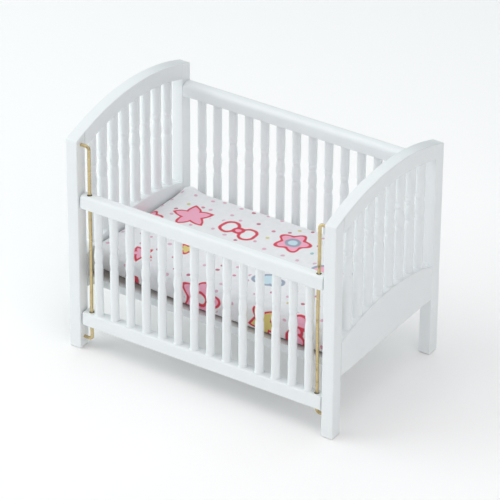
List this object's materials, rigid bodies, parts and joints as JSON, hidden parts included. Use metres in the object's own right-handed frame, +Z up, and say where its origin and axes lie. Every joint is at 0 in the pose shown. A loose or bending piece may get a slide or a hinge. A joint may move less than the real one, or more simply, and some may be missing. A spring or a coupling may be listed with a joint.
{
  "type": "dollhouse crib",
  "caption": "Dollhouse crib with arched spindle ends, a turned spindle back, a drop gate that slides on brass wires and a loose padded mattress.",
  "frame": {"origin": "on the floor, under the middle of the crib", "axes": "+X along the crib towards its right end as seen from the gate, -Y towards the gate, +Z up"},
  "size_m": [0.118, 0.0752, 0.0974],
  "materials": {
    "white_paint": "cool white satin paint over wood",
    "board_paint": "thin flat white paint over board",
    "brass_wire": "bare drawn brass, slightly dulled",
    "printed_cotton": "fine white cotton with a small printed pattern"
  },
  "bodies": {
    "crib_frame": {"left_front_post": "white_paint", "left_rear_post": "white_paint", "right_front_post": "white_paint", "right_rear_post": "white_paint", "left_arch_rail": "white_paint", "right_arch_rail": "white_paint", "left_end_board": "white_paint", "right_end_board": "white_paint", "left_end_spindle_1": "white_paint", "left_end_spindle_2": "white_paint", "left_end_spindle_3": "white_paint", "left_end_spindle_4": "white_paint", "left_end_spindle_5": "white_paint", "left_end_spindle_6": "white_paint", "left_end_spindle_7": "white_paint", "left_end_spindle_8": "white_paint", "right_end_spindle_1": "white_paint", "right_end_spindle_2": "white_paint", "right_end_spindle_3": "white_paint", "right_end_spindle_4": "white_paint", "right_end_spindle_5": "white_paint", "right_end_spindle_6": "white_paint", "right_end_spindle_7": "white_paint", "right_end_spindle_8": "white_paint", "back_top_rail": "white_paint", "back_bottom_rail": "white_paint", "back_spindle_1": "white_paint", "back_spindle_2": "white_paint", "back_spindle_3": "white_paint", "back_spindle_4": "white_paint", "back_spindle_5": "white_paint", "back_spindle_6": "white_paint", "back_spindle_7": "white_paint", "back_spindle_8": "white_paint", "back_spindle_9": "white_paint", "back_spindle_10": "white_paint", "back_spindle_11": "white_paint", "back_spindle_12": "white_paint", "back_spindle_13": "white_paint", "back_spindle_14": "white_paint", "left_guide_wire": "brass_wire", "right_guide_wire": "brass_wire", "bed_board": "board_paint"},
    "drop_gate": {"gate_top_rail": "white_paint", "gate_bottom_rail": "white_paint", "gate_spindle_1": "white_paint", "gate_spindle_2": "white_paint", "gate_spindle_3": "white_paint", "gate_spindle_4": "white_paint", "gate_spindle_5": "white_paint", "gate_spindle_6": "white_paint", "gate_spindle_7": "white_paint", "gate_spindle_8": "white_paint", "gate_spindle_9": "white_paint", "gate_spindle_10": "white_paint", "gate_spindle_11": "white_paint", "gate_spindle_12": "white_paint", "gate_spindle_13": "white_paint", "gate_spindle_14": "white_paint"},
    "loose_mattress": {"mattress": "printed_cotton"}
  },
  "joints": [
    {"name": "gate_slide", "type": "slide", "parent": "crib_frame", "child": "drop_gate", "axis": [0, 0, 1], "range_m": [-0.001, 0.0175]},
    {"name": "mattress_lift", "type": "slide", "parent": "crib_frame", "child": "loose_mattress", "axis": [0, 0, 1], "range_m": [0, 0.1]}
  ]
}
